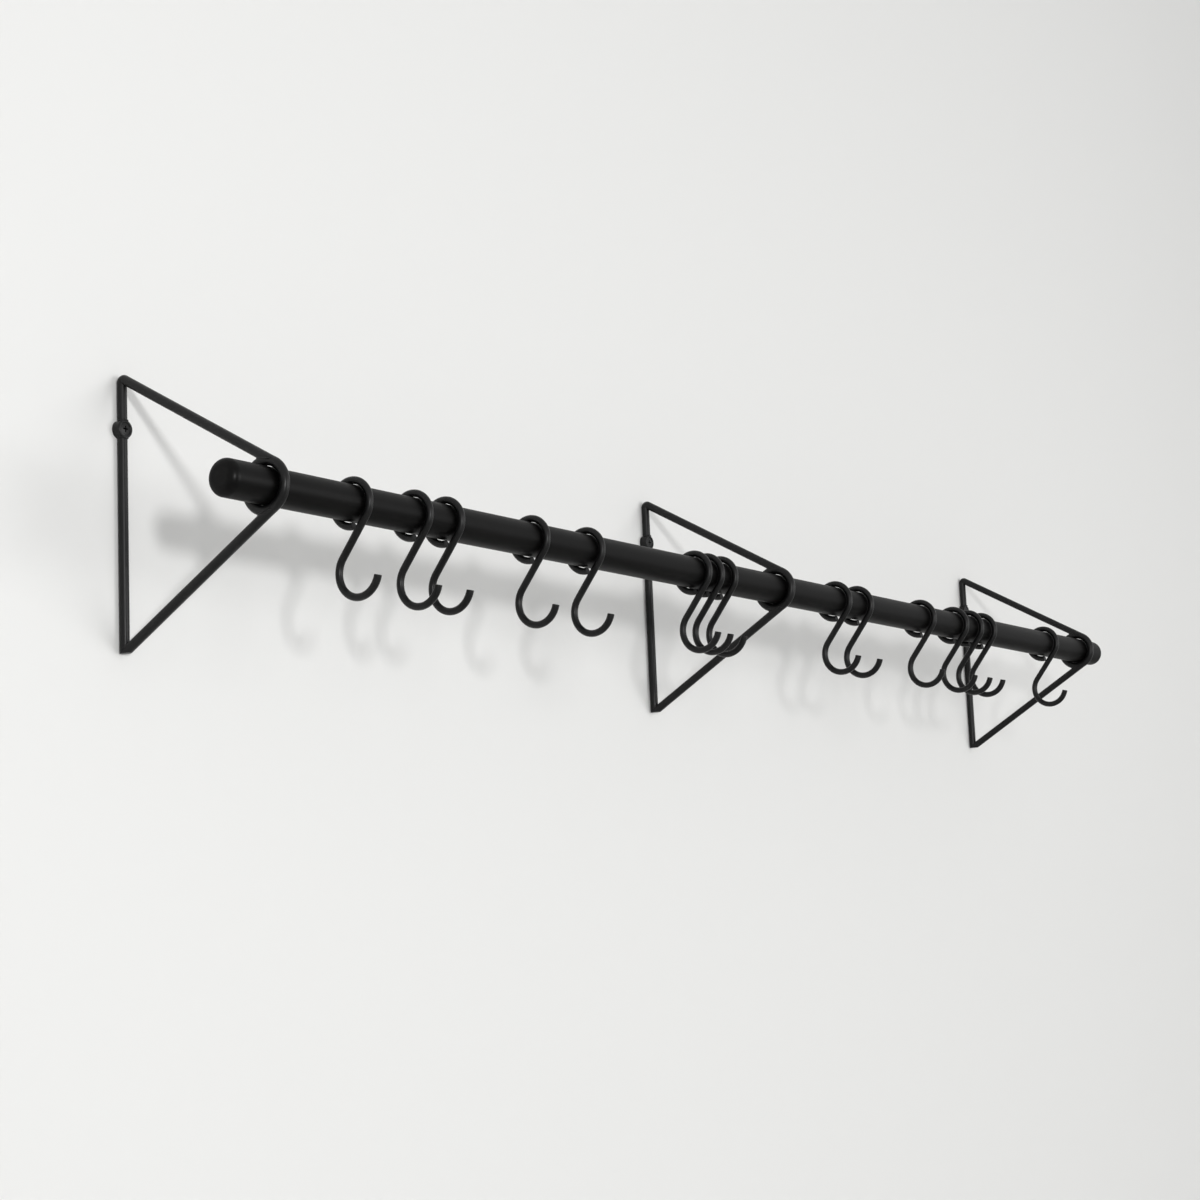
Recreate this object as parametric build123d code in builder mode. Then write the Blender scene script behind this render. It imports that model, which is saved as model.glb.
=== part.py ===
from build123d import *
import math
import os

# Wall coat rack: a wooden rod in three triangular wire brackets, with loose wire hooks.
# Millimetres. +X runs along the rod to the right as seen from the room, +Y goes into the
# wall and +Z is up. The origin is on the wall plane, on the axis of the middle screw.

# Rod
rod_length = 1600.0
rod_diameter = 30.0
rod_end_rounding = 7.5

# Brackets, each an equilateral triangle of round wire standing square to the wall
rod_overhang = 50.0
bracket_wire = 8.0
bracket_side = 222.0
corner_angle = 60.0
top_bend_radius = 2.3
foot_trim = 0.6

# Ring that carries the rod, in the triangle's outer corner
ring_clearance = 0.2
ring_wire = 8.2

# Countersunk screw boss let into the wall wire
boss_diameter = 15.0
boss_thickness = 8.0
boss_edge = 0.9
boss_hole = 5.4
screw_below_corner = 42.0

# Wood screw with a raised countersunk head and a cross recess, sunk below the boss's face
screw_sink = 0.8
screw_neck_diameter = 4.0
screw_thread_diameter = 5.0
thread_length = 36.0
screw_point = 6.0
screw_head_diameter = 10.0
screw_head_angle = 90.0
screw_head_crown = 0.6
recess_width = 1.3
recess_length = 5.4
recess_depth = 2.6
recess_taper = 12.0

# Hooks, each one bent wire
hook_wire = 6.3
hook_bore_clearance = 0.45
hook_hang_gap = 0.3
hook_end_gap = 0.3
hook_leg = 40.0
hook_bend_radius = 20.3
hook_bend_sweep = 205.0
hook_tip_edge = 0.6

# Places of the hooks as they were left hanging: shares of the way from one bracket to the next
left_bay_hooks = (0.131, 0.231, 0.286, 0.445, 0.556, 0.795, 0.825, 0.858)
right_bay_hooks = (0.163, 0.226, 0.422, 0.531, 0.583, 0.629, 0.863)

# Values worked out from the sizes above
bracket_spacing = rod_length / 2 - rod_overhang
wire_r = bracket_wire / 2
ring_wire_r = ring_wire / 2
boss_r = boss_diameter / 2
rod_r = rod_diameter / 2
hook_wire_r = hook_wire / 2
half_corner = math.radians(corner_angle / 2)

bracket_x = {"left": -bracket_spacing, "middle": 0.0, "right": bracket_spacing}

wall_wire_y = -wire_r
top_z = screw_below_corner
bottom_z = top_z - bracket_side
foot_z = bottom_z - foot_trim
axis_z = (top_z + bottom_z) / 2
apex_y = wall_wire_y - bracket_side * math.cos(half_corner)

ring_bore_r = rod_r + ring_clearance
ring_r = ring_bore_r + ring_wire_r
ring_y = apex_y + ring_r / math.sin(half_corner)
tangent_run = ring_r / math.tan(half_corner)

rod_y = ring_y
rod_z = axis_z - ring_clearance

head_r = screw_head_diameter / 2
head_y = screw_sink - boss_thickness
crown_y = head_y - screw_head_crown
sink_r = head_r + screw_sink * math.tan(math.radians(screw_head_angle / 2))

hook_bore_r = rod_r + hook_bore_clearance
hook_ring_r = hook_bore_r + hook_wire_r
hook_z = rod_z + rod_r + hook_hang_gap - hook_bore_r
hook_x = [bracket_x["left"] + share * bracket_spacing for share in left_bay_hooks]
hook_x += [bracket_x["middle"] + share * bracket_spacing for share in right_bay_hooks]


def along_top(distance):
    """Point on the upper diagonal's centre line, measured from the top corner."""
    return (
        wall_wire_y - distance * math.cos(half_corner),
        top_z - distance * math.sin(half_corner),
    )


def along_bottom(distance):
    """Point on the lower diagonal's centre line, measured from the bottom corner."""
    y, z = along_top(distance)
    return y, 2 * axis_z - z


def make_rod():
    """Round wooden rod with both ends rounded over."""
    with BuildPart() as rod:
        with BuildSketch(Plane.YZ.offset(-rod_length / 2)):
            with Locations((rod_y, rod_z)):
                Circle(rod_r)
        extrude(amount=rod_length)
        fillet(rod.edges().filter_by(GeomType.CIRCLE), radius=rod_end_rounding)
    return rod


def boss_plane(x):
    """Wall plane seen from behind, centred on one screw."""
    return Plane(origin=(x, 0, 0), x_dir=(1, 0, 0), z_dir=(0, 1, 0))


def make_ring(x):
    """Closed wire ring that carries the rod. The two diagonals run onto it as tangents."""
    with BuildPart() as ring:
        with BuildSketch(Plane(origin=(x, ring_y, axis_z), x_dir=(0, 0, 1), z_dir=(0, 1, 0))):
            with Locations((ring_r, 0)):
                Circle(ring_wire_r)
        revolve(axis=Axis((x, ring_y, axis_z), (1, 0, 0)))
    return ring


def make_upper_wire(x):
    """Wire from the boss up the wall, round the tight top bend and down to the ring."""
    turn = 180.0 - corner_angle
    setback = top_bend_radius / math.tan(half_corner)
    bend_y = wall_wire_y - top_bend_radius
    bend_z = top_z - setback
    out_y, out_z = along_top(setback)
    diagonal = (0, -math.cos(half_corner), -math.sin(half_corner))
    with BuildPart() as wire:
        with BuildSketch(Plane(origin=(x, wall_wire_y, 0), z_dir=(0, 0, 1))):
            Circle(wire_r)
        extrude(amount=bend_z)
        with BuildSketch(Plane(origin=(x, bend_y, bend_z), x_dir=(0, 1, 0), z_dir=(0, 0, 1))):
            with Locations((top_bend_radius, 0)):
                Circle(wire_r)
            with Locations((-bracket_wire, 0)):
                Rectangle(2 * bracket_wire, 2 * bracket_wire, mode=Mode.SUBTRACT)
        revolve(axis=Axis((x, bend_y, bend_z), (1, 0, 0)), revolution_arc=turn)
        with BuildSketch(Plane(origin=(x, out_y, out_z), x_dir=(1, 0, 0), z_dir=diagonal)):
            Circle(wire_r)
        extrude(amount=bracket_side - tangent_run - setback)
        with BuildSketch(boss_plane(x)):
            Circle(boss_r)
        extrude(amount=2 * bracket_wire, both=True, mode=Mode.SUBTRACT)
        add(make_ring(x).part, mode=Mode.SUBTRACT)
    return wire


def mitre_plane(x):
    """Plane that halves the bottom corner. The wall wire is on its upper side."""
    return Plane(
        origin=(x, wall_wire_y, bottom_z),
        x_dir=(1, 0, 0),
        z_dir=(0, math.cos(half_corner), math.sin(half_corner)),
    )


def foot_plane(x):
    """Level plane on which the bottom corner is ground flat."""
    return Plane(origin=(x, wall_wire_y, foot_z), z_dir=(0, 0, 1))


def make_lower_wire(x):
    """Straight diagonal wire: mitred and ground flat at the foot, coped to the ring above."""
    start_y, start_z = along_bottom(-bracket_wire)
    diagonal = (0, -math.cos(half_corner), math.sin(half_corner))
    with BuildPart() as wire:
        with BuildSketch(Plane(origin=(x, start_y, start_z), x_dir=(1, 0, 0), z_dir=diagonal)):
            Circle(wire_r)
        extrude(amount=bracket_wire + bracket_side - tangent_run)
        split(bisect_by=mitre_plane(x), keep=Keep.BOTTOM)
        split(bisect_by=foot_plane(x), keep=Keep.TOP)
        add(make_ring(x).part, mode=Mode.SUBTRACT)
    return wire


def make_wall_wire(x):
    """Straight wire up the wall from its mitred foot to the boss."""
    with BuildPart() as wire:
        with BuildSketch(foot_plane(x)):
            Circle(wire_r)
        extrude(amount=-foot_z)
        split(bisect_by=mitre_plane(x), keep=Keep.TOP)
        with BuildSketch(boss_plane(x)):
            Circle(boss_r)
        extrude(amount=2 * bracket_wire, both=True, mode=Mode.SUBTRACT)
    return wire


def make_boss(x):
    """Turned boss with a countersunk hole for the screw and an eased front edge."""
    with BuildPart() as boss:
        with BuildSketch(boss_plane(x)):
            Circle(boss_r)
        extrude(amount=-boss_thickness)
        front = boss.faces().sort_by(Axis.Y)[0]
        fillet(front.edges(), radius=boss_edge)
        with Locations(Plane(origin=(x, -boss_thickness, 0), x_dir=(1, 0, 0), z_dir=(0, -1, 0))):
            CounterSinkHole(boss_hole / 2, sink_r, counter_sink_angle=screw_head_angle)
    return boss


def make_screws():
    """One wood screw through each boss: raised head, cross recess, neck, thread and point."""
    neck_r = screw_neck_diameter / 2
    thread_r = screw_thread_diameter / 2
    head_depth = (head_r - neck_r) / math.tan(math.radians(screw_head_angle / 2))
    crown_r = (head_r**2 + screw_head_crown**2) / (2 * screw_head_crown)
    with BuildPart() as screws:
        for x in bracket_x.values():
            with BuildSketch(Plane(origin=(x, 0, 0), x_dir=(1, 0, 0), z_dir=(0, 0, 1))):
                with BuildLine():
                    Polyline(
                        (0, crown_y),
                        (0, thread_length + screw_point),
                        (thread_r, thread_length),
                        (thread_r, 0),
                        (neck_r, 0),
                        (neck_r, head_y + head_depth),
                        (head_r, head_y),
                    )
                    RadiusArc((head_r, head_y), (0, crown_y), crown_r)
                make_face()
            revolve(axis=Axis((x, 0, 0), (0, 1, 0)))
            with BuildSketch(Plane(origin=(x, crown_y, 0), x_dir=(1, 0, 0), z_dir=(0, 1, 0))):
                Rectangle(recess_length, recess_width)
                Rectangle(recess_width, recess_length)
            extrude(amount=recess_depth, taper=recess_taper, mode=Mode.SUBTRACT)
    return screws


def hook_centre_line(plane):
    """The hook's wire on a plane centred on its ring, with its leg pointing straight down.

    The wire starts at the ring's cut end beside the leg, goes once round the rod, runs down
    the leg on the ring's tangent and bends back up towards the room.
    """
    end_reach = hook_ring_r + hook_wire_r
    leg_side = hook_ring_r - hook_wire_r - hook_end_gap
    opening = math.degrees(math.acos(leg_side / end_reach))
    bend_centre = (-hook_ring_r - hook_bend_radius, -hook_leg)
    with BuildLine(plane) as centre_line:
        CenterArc((0, 0), hook_ring_r, opening - 180, 360 - opening)
        Line((-hook_ring_r, 0), (-hook_ring_r, -hook_leg))
        CenterArc(bend_centre, hook_bend_radius, 0, -hook_bend_sweep)
    return centre_line.line


def hook_plane(x):
    """Plane of one hanging hook, turned so that the wire's centre of mass is below the ring's centre."""
    balance = hook_centre_line(Plane.XY).center(CenterOf.MASS)
    lean = math.atan2(balance.X, -balance.Y)
    return Plane(
        origin=(x, rod_y, hook_z),
        x_dir=(0, math.cos(lean), -math.sin(lean)),
        z_dir=(1, 0, 0),
    )


def make_hook(x):
    """Bent wire hook: ring round the rod, straight leg and open bend with an eased tip."""
    path = hook_centre_line(hook_plane(x))
    with BuildPart() as hook:
        with BuildSketch(Plane(origin=path @ 0, x_dir=(1, 0, 0), z_dir=path % 0)):
            Circle(hook_wire_r)
        sweep(path=path)
        tip = hook.faces().filter_by(GeomType.PLANE).sort_by(Axis.Y)[0]
        fillet(tip.edges(), radius=hook_tip_edge)
    return hook


def save(piece, name):
    """Label the piece and write it as one STEP file."""
    piece.part.label = name
    export_step(piece.part, "parts/" + name + ".step")


os.makedirs("parts", exist_ok=True)
save(make_rod(), "rod")
for side, x in bracket_x.items():
    save(make_ring(x), side + "_ring")
    save(make_upper_wire(x), side + "_upper_wire")
    save(make_lower_wire(x), side + "_lower_wire")
    save(make_wall_wire(x), side + "_wall_wire")
    save(make_boss(x), side + "_boss")
save(make_screws(), "wall_screws")
for number, x in enumerate(hook_x, start=1):
    save(make_hook(x), f"hook_{number:02d}")
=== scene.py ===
import math

import bmesh
import bpy
from mathutils import Matrix, Vector, noise


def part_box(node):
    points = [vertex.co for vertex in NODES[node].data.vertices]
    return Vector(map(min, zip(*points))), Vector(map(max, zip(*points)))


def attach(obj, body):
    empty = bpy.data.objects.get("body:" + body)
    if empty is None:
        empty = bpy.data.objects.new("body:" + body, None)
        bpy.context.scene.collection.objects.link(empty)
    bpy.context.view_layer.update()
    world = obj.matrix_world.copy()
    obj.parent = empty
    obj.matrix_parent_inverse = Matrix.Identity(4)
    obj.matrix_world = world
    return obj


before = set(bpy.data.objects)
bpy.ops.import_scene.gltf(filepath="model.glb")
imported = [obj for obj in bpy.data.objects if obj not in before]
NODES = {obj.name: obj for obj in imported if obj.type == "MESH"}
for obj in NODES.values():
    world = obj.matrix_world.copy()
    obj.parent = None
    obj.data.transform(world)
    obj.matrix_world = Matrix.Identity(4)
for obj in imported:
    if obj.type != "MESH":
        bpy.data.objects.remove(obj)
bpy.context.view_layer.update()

SIDES = ("left", "middle", "right")
BRACKET_PARTS = ("ring", "upper_wire", "lower_wire", "wall_wire", "boss")
ROOT = "rack"

# Camera, at the place the photograph was taken from, in metres and degrees. The sensor is in
# millimetres.
FRAME_PIXELS = 1200.0
FOCAL_PIXELS = 2332.7
SENSOR = 36.0
CAMERA_AT = (-2.0299, -1.3492, -0.4344)
CAMERA_YAW = 55.239
CAMERA_PITCH = 8.765
CAMERA_ROLL = -2.435
CAMERA_REACH = 100.0

# Room: a pale wall behind the rack and a pale floor well below it
WALL_SIZE = 14.0
FLOOR_DROP = 1.65
ROOM_ROUGHNESS = 0.95
WALL_COLOUR = (0.80, 0.80, 0.79, 1.0)
FLOOR_COLOUR = (0.60, 0.60, 0.59, 1.0)
HORIZON_COLOUR = (0.46, 0.46, 0.46, 1.0)
ZENITH_COLOUR = (0.67, 0.67, 0.67, 1.0)
BACKDROP_COLOUR = (0.86, 0.86, 0.86, 1.0)

# Lamps: place and size in metres, power in watts. The key's place is worked out from the shadows.
KEY_FROM = (-2.06, -2.286, 0.013)
KEY_SIZE = 0.27
KEY_POWER = 27.5
FILL_FROM = (1.2, -4.0, 0.1)
FILL_SIZE = 2.4
FILL_POWER = 61.0

# Noises of the finishes: stretch on each axis, scale, detail
PEEL_NOISE = ((1, 1, 1), 1400.0, 2.0)
PATCH_NOISE = ((1, 1, 1), 55.0, 4.0)
GRAIN_NOISE = ((5, 210, 210), 1.6, 6.0)
PORE_NOISE = ((28, 900, 900), 1.0, 3.0)
CLOUD_NOISE = ((9, 30, 30), 1.0, 3.0)

# Parts of a noise's range over which a colour and a roughness change
COLOUR_RANGE = (0.35, 0.65)
ROUGHNESS_RANGE = (0.3, 0.7)

# Bumps of the finishes: strength, height in metres
PEEL_BUMP = (0.22, 0.0001)
PORE_BUMP = (0.22, 0.00012)
GRAIN_BUMP = (0.30, 0.00025)

# Powder coat: colours from dark to light, roughness from smooth to rough
BRACKET_COLOURS = ((0.0025, 0.0025, 0.0026), (0.0050, 0.0050, 0.0052))
HOOK_COLOURS = ((0.0025, 0.0025, 0.0026), (0.0045, 0.0045, 0.0047))
BRACKET_ROUGHNESS = (0.34, 0.42)
HOOK_ROUGHNESS = (0.32, 0.40)
SCREW_ROUGHNESS = (0.36, 0.44)
POWDER_SPECULAR = 0.25

# Stained wood, which the cloud noise darkens in places, under a thin satin coat
WOOD_COLOURS = ((0.0008, 0.0007, 0.0007), (0.0024, 0.0022, 0.0021))
CLOUD_COLOURS = ((0.6, 0.6, 0.6), (1.0, 1.0, 1.0))
CLOUD_FACTOR = 0.6
WOOD_ROUGHNESS = (0.46, 0.55)
WOOD_SPECULAR = 0.03
SATIN_WEIGHT = 0.19
SATIN_ROUGHNESS = 0.33

# Weld beads: the radius at each seam, in metres, and how it varies along the bead. It wavers by
# BEAD_RIPPLE of itself. An open bead gains OPEN_FADE of it at each point from its ends. A closed
# one starts at CLOSED_START of it, and the lower CLOSED_SWELL is, the sooner it fills out.
RING_BEAD = 0.0008
BOSS_BEAD = 0.0009
FOOT_BEAD = 0.0005
BEAD_SIDES = 10
BEAD_RIPPLE = 0.22
RIPPLE_SCALE = 900.0
OPEN_FADE = 0.25
CLOSED_START = 0.08
CLOSED_SWELL = 0.7

# Seams under the beads: how finely each is divided, and how far along the wire the ring's seam
# is looked for. The boss's seam goes on past half a turn by BOSS_SEAM_OVER of it at each end.
RING_SEAM_STEPS = 56
RING_SEAM_REACH = 0.03
RING_SEAM_STRIDE = 0.0001
BOSS_SEAM_STEPS = 32
BOSS_SEAM_OVER = 0.12
FOOT_SEAM_STEPS = 24

# Bracket: half of its corner angle, and how far below the point where the centre lines of its
# wires meet the bottom corner is cut flat, in metres
CORNER_HALF = math.radians(30)
FOOT_TRIM = 0.0006

# Screw thread, in metres. It starts behind the wall's face at THREAD_START and ends TIP_MARGIN
# short of the tip. Its ridge is rooted THREAD_SINK inside the shank.
THREAD_START = 0.0015
TIP_MARGIN = 0.0005
THREAD_PITCH = 0.0022
THREAD_HEIGHT = 0.00035
THREAD_HALF_WIDTH = 0.0005
THREAD_SINK = 0.0001
THREAD_STEPS = 28

# Screw's shank, in metres: its radius, and how far behind the wall's face its point starts
SHANK_R = 0.0025
POINT_START = 0.036

# Facets make a round piece's box a little small, so sizes are read to this decimal of a metre
CAD_DIGITS = 4


def box_centre(node):
    """Centre of a CAD node's box."""
    low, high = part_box(node)
    return (Vector(low) + Vector(high)) / 2


def half_width(node):
    """Half of a CAD node's width along the rod."""
    low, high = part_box(node)
    return round((high[0] - low[0]) / 2, CAD_DIGITS)


# Radii of the bracket's wires and boss, and the depth of the screws' tips, from the CAD
WIRE_R = half_width("left_wall_wire")
RING_WIRE_R = half_width("left_ring")
BOSS_R = half_width("left_boss")
SCREW_TIP = round(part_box("wall_screws")[1][1], CAD_DIGITS)


def node_tree(name):
    """New material with its nodes, links and main shader."""
    material = bpy.data.materials.new(name)
    material.use_nodes = True
    tree = material.node_tree
    return material, tree.nodes, tree.links, tree.nodes["Principled BSDF"]


def stretched_noise(nodes, links, stretch, scale, detail):
    """Noise in the object's own frame. The lower stretch is on an axis, the longer its grain there."""
    coordinates = nodes.new("ShaderNodeTexCoord")
    mapping = nodes.new("ShaderNodeMapping")
    mapping.inputs["Scale"].default_value = stretch
    texture = nodes.new("ShaderNodeTexNoise")
    texture.inputs["Scale"].default_value = scale
    texture.inputs["Detail"].default_value = detail
    links.new(coordinates.outputs["Object"], mapping.inputs["Vector"])
    links.new(mapping.outputs["Vector"], texture.inputs["Vector"])
    return texture.outputs["Fac"]


def colour_between(nodes, links, value, dark, light):
    """Colour that runs from dark to light over the middle of the noise's range."""
    ramp = nodes.new("ShaderNodeValToRGB")
    for element, position, colour in zip(ramp.color_ramp.elements, COLOUR_RANGE, (dark, light)):
        element.position = position
        element.color = (*colour, 1.0)
    links.new(value, ramp.inputs["Fac"])
    return ramp.outputs["Color"]


def number_between(nodes, links, value, low, high):
    """Number that runs from low to high over the middle of the noise's range."""
    spread = nodes.new("ShaderNodeMapRange")
    spread.inputs["From Min"].default_value = ROUGHNESS_RANGE[0]
    spread.inputs["From Max"].default_value = ROUGHNESS_RANGE[1]
    spread.inputs["To Min"].default_value = low
    spread.inputs["To Max"].default_value = high
    links.new(value, spread.inputs["Value"])
    return spread.outputs["Result"]


def add_bump(nodes, links, value, strength, height, below=None):
    """Bump from value, on top of another bump if one is given."""
    bump = nodes.new("ShaderNodeBump")
    bump.inputs["Strength"].default_value = strength
    bump.inputs["Distance"].default_value = height
    links.new(value, bump.inputs["Height"])
    if below is not None:
        links.new(below, bump.inputs["Normal"])
    return bump.outputs["Normal"]


def powder_coat(name, colours, roughness):
    """Black powder coat: fine orange peel, faint mottling and a few duller patches."""
    material, nodes, links, shader = node_tree(name)
    peel = stretched_noise(nodes, links, *PEEL_NOISE)
    patches = stretched_noise(nodes, links, *PATCH_NOISE)
    links.new(colour_between(nodes, links, patches, *colours), shader.inputs["Base Color"])
    links.new(number_between(nodes, links, patches, *roughness), shader.inputs["Roughness"])
    links.new(add_bump(nodes, links, peel, *PEEL_BUMP), shader.inputs["Normal"])
    shader.inputs["Specular IOR Level"].default_value = POWDER_SPECULAR
    return material


def stained_wood(name):
    """Black-stained wood: long fine grain with open pores and a soft satin surface."""
    material, nodes, links, shader = node_tree(name)
    grain = stretched_noise(nodes, links, *GRAIN_NOISE)
    pores = stretched_noise(nodes, links, *PORE_NOISE)
    cloud = stretched_noise(nodes, links, *CLOUD_NOISE)
    tint = nodes.new("ShaderNodeMix")
    tint.data_type = "RGBA"
    tint.blend_type = "MULTIPLY"
    tint.inputs["Factor"].default_value = CLOUD_FACTOR
    links.new(colour_between(nodes, links, grain, *WOOD_COLOURS), tint.inputs["A"])
    links.new(colour_between(nodes, links, cloud, *CLOUD_COLOURS), tint.inputs["B"])
    links.new(tint.outputs["Result"], shader.inputs["Base Color"])
    links.new(number_between(nodes, links, grain, *WOOD_ROUGHNESS), shader.inputs["Roughness"])
    fine = add_bump(nodes, links, pores, *PORE_BUMP)
    links.new(add_bump(nodes, links, grain, *GRAIN_BUMP, fine), shader.inputs["Normal"])
    shader.inputs["Specular IOR Level"].default_value = WOOD_SPECULAR
    shader.inputs["Coat Weight"].default_value = SATIN_WEIGHT
    shader.inputs["Coat Roughness"].default_value = SATIN_ROUGHNESS
    return material


def room_paint(name, colour):
    """Matt paint. Its back is clear to the camera only, so that the rack shows from behind."""
    material, nodes, links, shader = node_tree(name)
    shader.inputs["Base Color"].default_value = colour
    shader.inputs["Roughness"].default_value = ROOM_ROUGHNESS
    shader.inputs["Specular IOR Level"].default_value = 0.0
    clear = nodes.new("ShaderNodeBsdfTransparent")
    geometry = nodes.new("ShaderNodeNewGeometry")
    rays = nodes.new("ShaderNodeLightPath")
    both = nodes.new("ShaderNodeMath")
    both.operation = "MULTIPLY"
    mix = nodes.new("ShaderNodeMixShader")
    links.new(geometry.outputs["Backfacing"], both.inputs[0])
    links.new(rays.outputs["Is Camera Ray"], both.inputs[1])
    links.new(both.outputs["Value"], mix.inputs["Fac"])
    links.new(shader.outputs["BSDF"], mix.inputs[1])
    links.new(clear.outputs["BSDF"], mix.inputs[2])
    links.new(mix.outputs["Shader"], nodes["Material Output"].inputs["Surface"])
    return material


def paint(node, material):
    """Gives a CAD node one material in place of its own."""
    mesh = NODES[node].data
    mesh.materials.clear()
    mesh.materials.append(material)


def add_object(name, data):
    """New object in the scene, with the given mesh, light or camera."""
    made = bpy.data.objects.new(name, data)
    bpy.context.scene.collection.objects.link(made)
    return made


def add_mesh(name, bm, material):
    """New object in the scene from a bmesh, with one material."""
    mesh = bpy.data.meshes.new(name)
    bm.to_mesh(mesh)
    bm.free()
    mesh.materials.append(material)
    return add_object(name, mesh)


def add_piece(name, bm, material):
    """Smooth-shaded piece of the rack from a bmesh."""
    bmesh.ops.recalc_face_normals(bm, faces=bm.faces)
    piece = add_mesh(name, bm, material)
    piece.data.shade_smooth()
    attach(piece, ROOT)


def bridge(bm, one, two):
    """Band of quads between two rings of corners."""
    count = len(one)
    for k in range(count):
        m = (k + 1) % count
        bm.faces.new((one[k], one[m], two[m], two[k]))


def bead_share(i, count, closed):
    """Share of its full thickness that a bead has at its point i.

    A closed one starts thin and is thickest half way round. An open one fades out at its ends.
    """
    if closed:
        swell = 0.5 - 0.5 * math.cos(2 * math.pi * i / count)
        return CLOSED_START + (1 - CLOSED_START) * swell**CLOSED_SWELL
    return min(1.0, OPEN_FADE * (1 + min(i, count - 1 - i)))


def add_bead(bm, path, radius, closed):
    """Weld bead: a tube along path, a little uneven in thickness."""
    count = len(path)
    rings = []
    side = None
    for i, point in enumerate(path):
        before = path[(i - 1) % count] if closed else path[max(i - 1, 0)]
        after = path[(i + 1) % count] if closed else path[min(i + 1, count - 1)]
        along = (after - before).normalized()
        # Each ring's side follows on from that of the ring before, so the tube has no twist
        side = along.orthogonal() if side is None else side - side.dot(along) * along
        side.normalize()
        up = along.cross(side)
        ripple = 1.0 + BEAD_RIPPLE * noise.noise(point * RIPPLE_SCALE)
        thick = radius * bead_share(i, count, closed) * ripple
        ring = []
        for k in range(BEAD_SIDES):
            turn = 2 * math.pi * k / BEAD_SIDES
            ring.append(bm.verts.new(point + (side * math.cos(turn) + up * math.sin(turn)) * thick))
        rings.append(ring)
    pairs = list(zip(rings, rings[1:]))
    if closed:
        # The last ring is turned to meet the first where it lies nearest
        first, last = rings[0], rings[-1]
        shift = min(range(BEAD_SIDES), key=lambda k: (first[k].co - last[0].co).length)
        pairs.append((last, first[shift:] + first[:shift]))
    else:
        bm.faces.new(rings[0])
        bm.faces.new(rings[-1])
    for one, two in pairs:
        bridge(bm, one, two)


def ring_seam(centre, ring_r, upper):
    """Line where a diagonal's wire runs onto the ring, worked out round the wire's section."""
    flip = 1.0 if upper else -1.0
    along = Vector((0, -math.cos(CORNER_HALF), -math.sin(CORNER_HALF) * flip))
    out = Vector((0, -math.sin(CORNER_HALF), math.cos(CORNER_HALF) * flip))
    touch = centre + out * ring_r
    path = []
    for k in range(RING_SEAM_STEPS):
        turn = 2 * math.pi * k / RING_SEAM_STEPS
        section = (out * math.cos(turn) + Vector((1, 0, 0)) * math.sin(turn)) * WIRE_R
        back = 0.0
        while back < RING_SEAM_REACH:
            point = touch + section - along * back
            flat = Vector((0, point.y - centre.y, point.z - centre.z))
            if math.hypot(flat.length - ring_r, point.x - centre.x) > RING_WIRE_R:
                break
            back += RING_SEAM_STRIDE
        path.append(point)
    return path


def boss_seam(x, upper):
    """Line where the wall wire meets the boss's rim, on the room's side."""
    flip = 1.0 if upper else -1.0
    path = []
    for k in range(BOSS_SEAM_STEPS + 1):
        turn = math.pi * (k / BOSS_SEAM_STEPS * (1 + 2 * BOSS_SEAM_OVER) - BOSS_SEAM_OVER)
        across = WIRE_R * math.cos(turn)
        height = math.sqrt(BOSS_R**2 - across**2)
        path.append(Vector((x + across, -WIRE_R - WIRE_R * math.sin(turn), height * flip)))
    return path


def foot_seam(x, bottom_z):
    """Mitred seam of the bottom corner, up over its inner side."""
    path = []
    for k in range(FOOT_SEAM_STEPS + 1):
        turn = math.pi * k / FOOT_SEAM_STEPS
        rise = WIRE_R * math.sin(turn)
        height = bottom_z + rise / math.tan(CORNER_HALF)
        path.append(Vector((x + WIRE_R * math.cos(turn), -WIRE_R - rise, height)))
    return path


def add_thread(bm, x):
    """Helical ridge along the screw's shank, running out down its point."""
    length = SCREW_TIP - TIP_MARGIN - THREAD_START
    count = int(length / THREAD_PITCH * THREAD_STEPS)
    half = Vector((0, THREAD_HALF_WIDTH, 0))
    rows = []
    for i in range(count + 1):
        y = THREAD_START + length * i / count
        turn = 2 * math.pi * i / THREAD_STEPS
        shank = SHANK_R * min(1.0, (SCREW_TIP - y) / (SCREW_TIP - POINT_START))
        fade = min(1.0, i / THREAD_STEPS, (count - i) / THREAD_STEPS)
        base = Vector((x, y, 0))
        outward = Vector((math.cos(turn), 0, math.sin(turn)))
        root = base + outward * (shank - THREAD_SINK)
        crest = base + outward * (shank + THREAD_HEIGHT * fade)
        rows.append([bm.verts.new(corner) for corner in (root - half, crest, root + half)])
    for one, two in zip(rows, rows[1:]):
        bridge(bm, one, two)
    bm.faces.new(rows[0])
    bm.faces.new(rows[-1])


def add_welds(side, coat):
    """Weld beads of one bracket, at its ring, its boss and its foot."""
    low, high = (Vector(v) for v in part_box(side + "_ring"))
    centre = (low + high) / 2
    ring_r = (high.z - low.z) / 2 - RING_WIRE_R
    foot_z = Vector(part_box(side + "_lower_wire")[0]).z + FOOT_TRIM
    bm = bmesh.new()
    for upper in (True, False):
        add_bead(bm, ring_seam(centre, ring_r, upper), RING_BEAD, closed=True)
        add_bead(bm, boss_seam(centre.x, upper), BOSS_BEAD, closed=False)
    add_bead(bm, foot_seam(centre.x, foot_z), FOOT_BEAD, closed=False)
    add_piece(side + "_weld_beads", bm, coat)


def add_plane(name, centre, turn, material):
    """Large flat stage piece."""
    bm = bmesh.new()
    bmesh.ops.create_grid(bm, x_segments=1, y_segments=1, size=WALL_SIZE / 2)
    bmesh.ops.transform(bm, matrix=Matrix.Translation(centre) @ turn, verts=bm.verts)
    add_mesh(name, bm, material)


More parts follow.
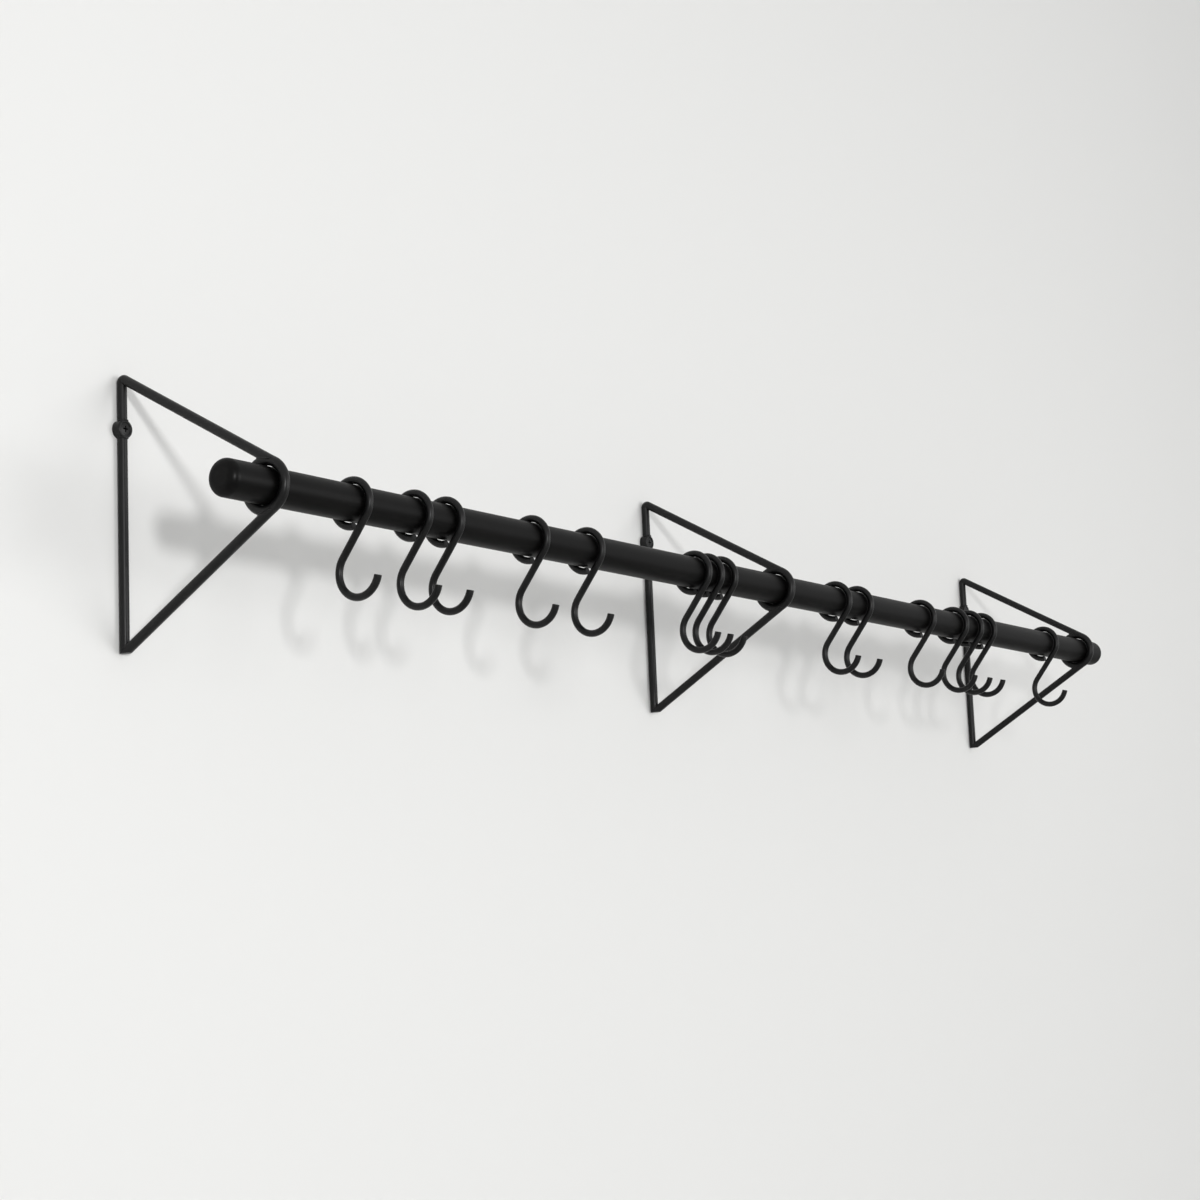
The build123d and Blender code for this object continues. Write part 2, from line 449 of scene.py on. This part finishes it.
def add_lamp(name, place, target, size, power):
    """Round soft light facing a point."""
    data = bpy.data.lights.new(name, "AREA")
    data.shape = "DISK"
    data.size = size
    data.energy = power
    lamp = add_object(name, data)
    lamp.location = place
    lamp.rotation_euler = (Vector(target) - Vector(place)).to_track_quat("-Z", "Y").to_euler()


def add_camera():
    """Camera with the photograph's place, direction, roll and focal length."""
    yaw, pitch, roll = (math.radians(a) for a in (CAMERA_YAW, CAMERA_PITCH, CAMERA_ROLL))
    forward = Vector((math.cos(pitch) * math.sin(yaw), math.cos(pitch) * math.cos(yaw), math.sin(pitch)))
    flat_right = forward.cross(Vector((0, 0, 1))).normalized()
    flat_up = flat_right.cross(forward)
    right = flat_right * math.cos(roll) + flat_up * math.sin(roll)
    up = flat_up * math.cos(roll) - flat_right * math.sin(roll)
    data = bpy.data.cameras.new("camera")
    data.sensor_width = SENSOR
    data.lens = FOCAL_PIXELS / FRAME_PIXELS * SENSOR
    data.clip_end = CAMERA_REACH
    camera = add_object("camera", data)
    turn = Matrix((right, up, -forward)).transposed()
    camera.matrix_world = Matrix.Translation(CAMERA_AT) @ turn.to_4x4()
    bpy.context.scene.camera = camera


def add_world():
    """Soft light all round, brighter overhead.

    Camera, glossy and transmission rays see a pale backdrop in its place.
    """
    world = bpy.data.worlds.new("world")
    bpy.context.scene.world = world
    world.use_nodes = True
    nodes, links = world.node_tree.nodes, world.node_tree.links
    direction = nodes.new("ShaderNodeTexCoord")
    parts = nodes.new("ShaderNodeSeparateXYZ")
    ramp = nodes.new("ShaderNodeValToRGB")
    ramp.color_ramp.elements[0].color = HORIZON_COLOUR
    ramp.color_ramp.elements[1].color = ZENITH_COLOUR
    links.new(direction.outputs["Generated"], parts.inputs["Vector"])
    links.new(parts.outputs["Z"], ramp.inputs["Fac"])
    rays = nodes.new("ShaderNodeLightPath")
    seen = rays.outputs["Is Camera Ray"]
    for kind in ("Is Glossy Ray", "Is Transmission Ray"):
        either = nodes.new("ShaderNodeMath")
        either.operation = "MAXIMUM"
        links.new(seen, either.inputs[0])
        links.new(rays.outputs[kind], either.inputs[1])
        seen = either.outputs["Value"]
    mix = nodes.new("ShaderNodeMix")
    mix.data_type = "RGBA"
    mix.inputs["B"].default_value = BACKDROP_COLOUR
    links.new(seen, mix.inputs["Factor"])
    links.new(ramp.outputs["Color"], mix.inputs["A"])
    links.new(mix.outputs["Result"], nodes["Background"].inputs["Color"])


wood = stained_wood("black_stained_wood")
bracket_coat = powder_coat("bracket_powder_coat", BRACKET_COLOURS, BRACKET_ROUGHNESS)
hook_coat = powder_coat("hook_powder_coat", HOOK_COLOURS, HOOK_ROUGHNESS)
screw_coat = powder_coat("screw_coat", BRACKET_COLOURS, SCREW_ROUGHNESS)

paint("rod", wood)
paint("wall_screws", screw_coat)
for side in SIDES:
    for part in BRACKET_PARTS:
        paint(f"{side}_{part}", bracket_coat)
for node in NODES:
    if node.startswith("hook_"):
        paint(node, hook_coat)

for side in SIDES:
    add_welds(side, bracket_coat)
threads = bmesh.new()
for side in SIDES:
    add_thread(threads, box_centre(side + "_ring").x)
add_piece("screw_threads", threads, screw_coat)

wall_paint = room_paint("wall_paint", WALL_COLOUR)
floor_paint = room_paint("floor_paint", FLOOR_COLOUR)
facing_room = Matrix.Rotation(math.radians(90), 4, "X")
add_plane("wall", (0, 0, 0), facing_room, wall_paint)
add_plane("floor", (0, -WALL_SIZE / 2, -FLOOR_DROP), Matrix.Identity(4), floor_paint)
add_lamp("key", KEY_FROM, box_centre("rod"), KEY_SIZE, KEY_POWER)
add_lamp("fill", FILL_FROM, box_centre("rod"), FILL_SIZE, FILL_POWER)
add_world()
add_camera()
bpy.context.scene.view_settings.view_transform = "Standard"
